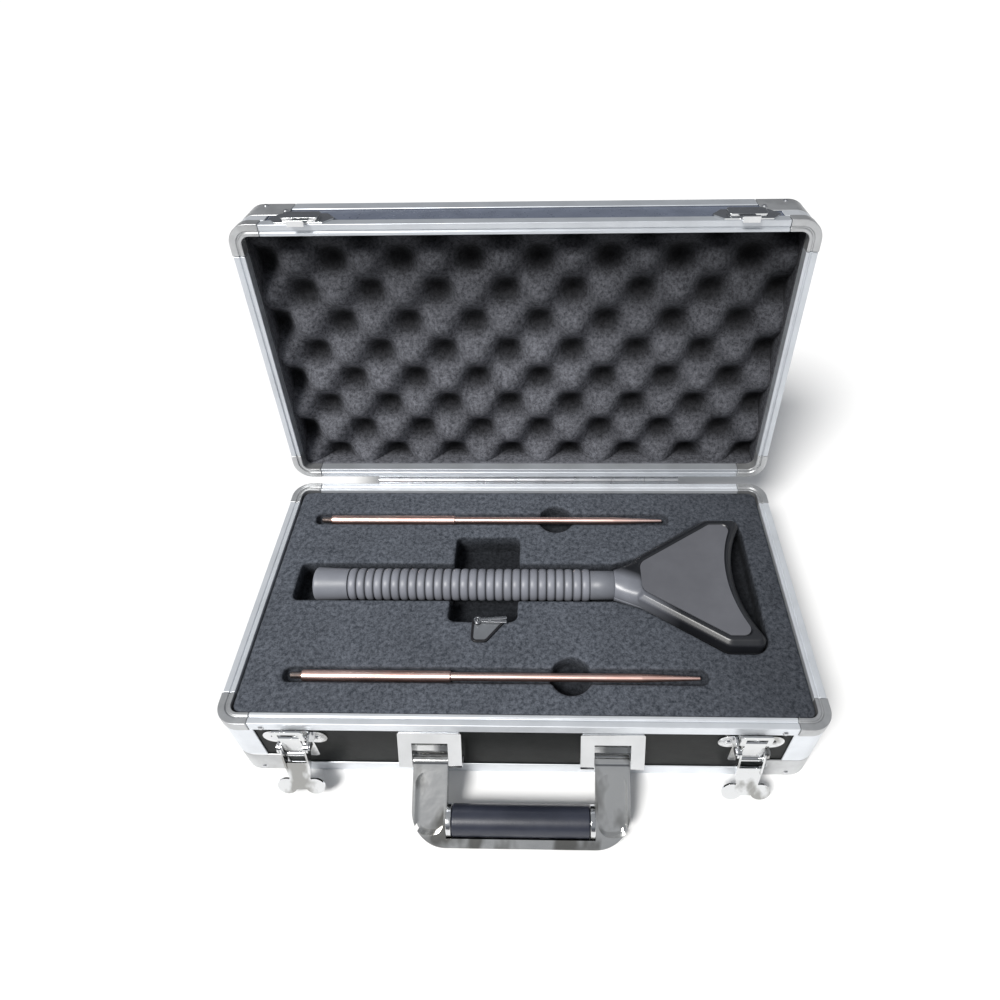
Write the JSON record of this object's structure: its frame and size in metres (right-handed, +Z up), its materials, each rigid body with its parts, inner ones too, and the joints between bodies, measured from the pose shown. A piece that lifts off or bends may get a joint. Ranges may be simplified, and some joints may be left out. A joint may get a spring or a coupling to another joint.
{
  "type": "groundwater detector kit",
  "caption": "Groundwater detector kit: fan-headed detector on a ribbed handle with copper antenna rods and case keys, lying in the foam insert of an open aluminium-edged carrying case.",
  "frame": {"origin": "middle of the underside of the case's base, on the floor", "axes": "+X to the right along the case's length, -Y towards the latches and the carrying handle, +Z up"},
  "size_m": [0.4218, 0.3544, 0.3106],
  "materials": {
    "black_panel": "satin",
    "satin_aluminium": "satin",
    "corner_steel": "satin",
    "rivet_steel": "polished",
    "charcoal_foam": "matte",
    "bright_chrome": "polished",
    "grip_plastic": "satin",
    "detector_plastic": "satin",
    "detector_rubber": "satin",
    "face_grey": "satin",
    "tube_aluminium": "satin",
    "socket_brass": "satin",
    "board_green": "satin",
    "cell_wrap": "gloss",
    "copper": "polished",
    "stub_brass": "polished",
    "key_steel": "polished",
    "fob_black": "satin",
    "fob_clear": "gloss"
  },
  "bodies": {
    "base": {"base_floor_panel": "black_panel", "base_front_panel": "black_panel", "base_back_panel": "black_panel", "base_side_panels": "black_panel", "base_corner_posts": "satin_aluminium", "base_edging": "satin_aluminium", "base_corner_caps": "corner_steel", "base_rim_rails": "satin_aluminium", "base_rim_corners": "corner_steel", "base_rivets": "rivet_steel", "foam_insert": "charcoal_foam", "foam_underlay": "charcoal_foam", "hinge_base_leaf": "rivet_steel", "hinge_pin": "rivet_steel", "handle_bracket_left": "bright_chrome", "handle_bracket_right": "bright_chrome", "handle_pins": "rivet_steel", "latch_base_left": "bright_chrome", "latch_base_right": "bright_chrome", "latch_pivot_rivets": "rivet_steel"},
    "lid": {"lid_top_panel": "black_panel", "lid_front_panel": "black_panel", "lid_back_panel": "black_panel", "lid_side_panels": "black_panel", "lid_corner_posts": "satin_aluminium", "lid_edging": "satin_aluminium", "lid_corner_caps": "corner_steel", "lid_rim_rails": "satin_aluminium", "lid_rim_corners": "corner_steel", "lid_rivets": "rivet_steel", "lid_foam": "charcoal_foam", "hinge_lid_leaf": "rivet_steel", "latch_keeper_left": "bright_chrome", "latch_keeper_right": "bright_chrome"},
    "handle": {"handle_bail": "bright_chrome", "handle_grip": "grip_plastic", "handle_grip_bar": "bright_chrome"},
    "lever_left": {"latch_lever_left": "bright_chrome", "latch_hook_pin_left": "bright_chrome"},
    "hook_left": {"latch_hook_left": "bright_chrome"},
    "lever_right": {"latch_lever_right": "bright_chrome", "latch_hook_pin_right": "bright_chrome"},
    "hook_right": {"latch_hook_right": "bright_chrome"},
    "detector": {"detector_core_tube": "tube_aluminium", "detector_grip_sleeve": "detector_rubber", "detector_lower_shell": "detector_plastic", "detector_upper_shell": "detector_plastic", "detector_face_panel": "face_grey", "detector_rod_sockets": "socket_brass", "detector_circuit_board": "board_green", "detector_battery_cells": "cell_wrap", "detector_shell_screws": "rivet_steel"},
    "end_cap": {"detector_end_cap": "detector_plastic"},
    "rod_front": {"rod_front": "copper", "rod_front_stub": "stub_brass"},
    "rod_back": {"rod_back": "copper", "rod_back_stub": "stub_brass"},
    "keys": {"case_keys": "key_steel", "key_fob_frame": "fob_black", "key_fob_window": "fob_clear"}
  },
  "joints": [
    {"name": "lid_hinge", "type": "hinge", "parent": "base", "child": "lid", "pos_m": [0, 0.119, 0.0722], "axis": [-1, 0, 0], "range_deg": [-95, 0]},
    {"name": "handle_pivot", "type": "hinge", "parent": "base", "child": "handle", "pos_m": [0, -0.1225, 0.036], "axis": [-1, 0, 0], "range_deg": [0, 115]},
    {"name": "lever_left_pivot", "type": "hinge", "parent": "base", "child": "lever_left", "pos_m": [-0.1575, -0.1206, 0.05], "axis": [-1, 0, 0], "range_deg": [-21, 85]},
    {"name": "hook_left_pivot", "type": "hinge", "parent": "lever_left", "child": "hook_left", "pos_m": [-0.1575, -0.12084, 0.04099], "axis": [-1, 0, 0], "range_deg": [-85, 21]},
    {"name": "lever_right_pivot", "type": "hinge", "parent": "base", "child": "lever_right", "pos_m": [0.1575, -0.1206, 0.05], "axis": [-1, 0, 0], "range_deg": [-21, 85]},
    {"name": "hook_right_pivot", "type": "hinge", "parent": "lever_right", "child": "hook_right", "pos_m": [0.1575, -0.12084, 0.04099], "axis": [-1, 0, 0], "range_deg": [-85, 21]},
    {"name": "detector_lift", "type": "slide", "parent": "base", "child": "detector", "axis": [0, 0, 1], "range_m": [0, 0.12]},
    {"name": "end_cap_pull", "type": "slide", "parent": "detector", "child": "end_cap", "axis": [-1, 0, 0], "range_m": [0, 0.012]},
    {"name": "rod_front_lift", "type": "slide", "parent": "base", "child": "rod_front", "axis": [0, 0, 1], "range_m": [0, 0.1]},
    {"name": "rod_back_lift", "type": "slide", "parent": "base", "child": "rod_back", "axis": [0, 0, 1], "range_m": [0, 0.1]},
    {"name": "keys_lift", "type": "slide", "parent": "base", "child": "keys", "axis": [0, 0, 1], "range_m": [0, 0.08]}
  ],
  "couplings": [
    {"joint": "hook_left_pivot", "follows": "lever_left_pivot", "ratio": -1},
    {"joint": "hook_right_pivot", "follows": "lever_right_pivot", "ratio": -1}
  ]
}
